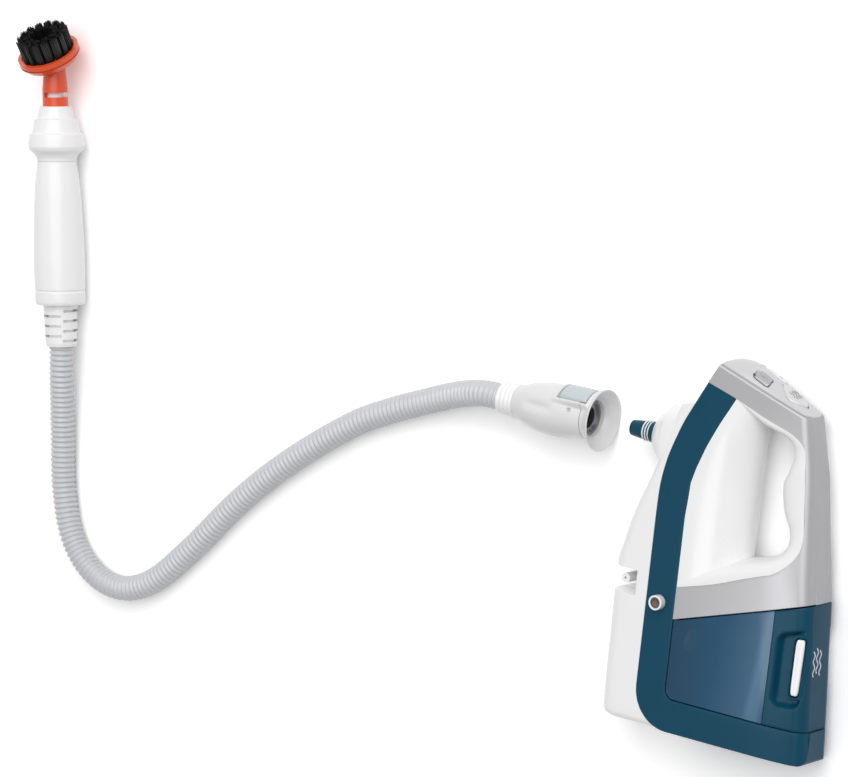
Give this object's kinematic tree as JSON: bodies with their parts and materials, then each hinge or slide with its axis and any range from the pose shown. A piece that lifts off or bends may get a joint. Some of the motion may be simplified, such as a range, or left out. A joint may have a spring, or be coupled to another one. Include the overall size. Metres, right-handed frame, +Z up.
{
  "type": "handheld steamer",
  "caption": "Slim handheld steamer with closed grip, slide-out water tank, front steam nozzle and a corrugated accessory hose with latching coupling, grip wand and round brush.",
  "frame": {"origin": "centre of the lower side band's outer face on the steamer's right side, which is the face that it lies on; the table is the plane Z = 0", "axes": "+X towards the steamer's rear, +Y towards its top, +Z up from the table, out of the steamer's left side; to stand it on its feet, turn it 90 degrees about +X"},
  "size_m": [0.8165, 0.4717, 0.0603],
  "materials": {
    "white": "glossy",
    "blue": "satin gloss",
    "silver": "satin silver paint",
    "pale_grey": "satin",
    "mid_grey": "satin",
    "lens": "clear satin",
    "seal_white": "matte",
    "rubber_black": "matte",
    "black_plastic": "matte",
    "board": "satin",
    "copper": "enamelled winding",
    "cast_aluminium": "as cast",
    "heater_steel": "heat tinted",
    "brass": "drawn tube",
    "steel": "zinc plated",
    "tank": "clear tinted gloss",
    "hose_grey": "glossy corrugated",
    "orange": "satin gloss",
    "bristle": "stiff nylon"
  },
  "bodies": {
    "steamer": {"white_shell_left": "white", "white_shell_right": "white", "band_left": "blue", "band_right": "blue", "base_tray": "blue", "handle_shell_left": "silver", "handle_shell_right": "silver", "grip_liner": "white", "control_panel": "silver", "indicator_lens": "lens", "nozzle_dome": "white", "steam_nozzle": "blue", "nozzle_seals": "seal_white", "strap_stud": "white", "parking_peg": "white", "boiler": "cast_aluminium", "boiler_heater": "heater_steel", "boiler_bracket": "mid_grey", "thermostat": "black_plastic", "pump": "pale_grey", "pump_coil": "copper", "pump_mounts": "rubber_black", "control_board": "board", "board_parts": "black_plastic", "switch_board": "board", "micro_switches": "black_plastic", "suction_tube": "pale_grey", "pressure_tube": "pale_grey", "steam_pipe": "brass", "tank_dock": "pale_grey", "dock_seal": "rubber_black", "cord_gland": "rubber_black", "shell_screws": "steel", "rubber_feet": "rubber_black"},
    "tank": {"water_tank": "tank", "tank_grip": "blue", "tank_cap": "pale_grey", "tank_valve": "mid_grey", "latch_springs": "steel"},
    "latch_plate_left": {"latch_left": "white"},
    "latch_plate_right": {"latch_right": "white"},
    "steam_key": {"steam_button": "pale_grey"},
    "power_key": {"power_button": "mid_grey"},
    "mode_key": {"mode_button": "white"},
    "hose_kit": {"coupling_body": "white", "coupling_collar": "white", "coupling_socket": "mid_grey", "socket_seal": "rubber_black", "release_spring": "steel", "coupling_cuff": "white", "coupling_screw": "steel", "hose": "hose_grey", "wand_sleeve": "white", "wand_grip": "white", "wand_tip": "white", "wand_pipe": "pale_grey"},
    "release_key": {"release_button": "pale_grey"},
    "brush": {"brush_head": "orange", "bristle_tufts": "bristle"}
  },
  "joints": [
    {"name": "hose_coupling", "type": "slide", "parent": "steamer", "child": "hose_kit", "axis": [1, 0, 0], "range_m": [-0.08, 0.058]},
    {"name": "tank_slide", "type": "slide", "parent": "steamer", "child": "tank", "axis": [1, 0, 0], "range_m": [0, 0.12]},
    {"name": "latch_left_squeeze", "type": "slide", "parent": "tank", "child": "latch_plate_left", "axis": [0, 0, -1], "range_m": [0, 0.0025], "stiffness_N_per_m": 500},
    {"name": "latch_right_squeeze", "type": "slide", "parent": "tank", "child": "latch_plate_right", "axis": [0, 0, 1], "range_m": [0, 0.0025], "stiffness_N_per_m": 500},
    {"name": "steam_button_press", "type": "slide", "parent": "steamer", "child": "steam_key", "axis": [-0.4384, -0.8988, 0], "range_m": [0, 0.0014], "stiffness_N_per_m": 900},
    {"name": "power_button_press", "type": "slide", "parent": "steamer", "child": "power_key", "axis": [-0.4384, -0.8988, 0], "range_m": [0, 0.0014], "stiffness_N_per_m": 900},
    {"name": "mode_button_press", "type": "slide", "parent": "steamer", "child": "mode_key", "axis": [-0.4384, -0.8988, 0], "range_m": [0, 0.0014], "stiffness_N_per_m": 900},
    {"name": "release_button_press", "type": "slide", "parent": "hose_kit", "child": "release_key", "axis": [0, -0.9135, -0.4067], "range_m": [0, 0.0025], "stiffness_N_per_m": 700},
    {"name": "brush_pull", "type": "slide", "parent": "hose_kit", "child": "brush", "axis": [-0.1288, 0.9914, 0.0227], "range_m": [0, 0.03]}
  ]
}
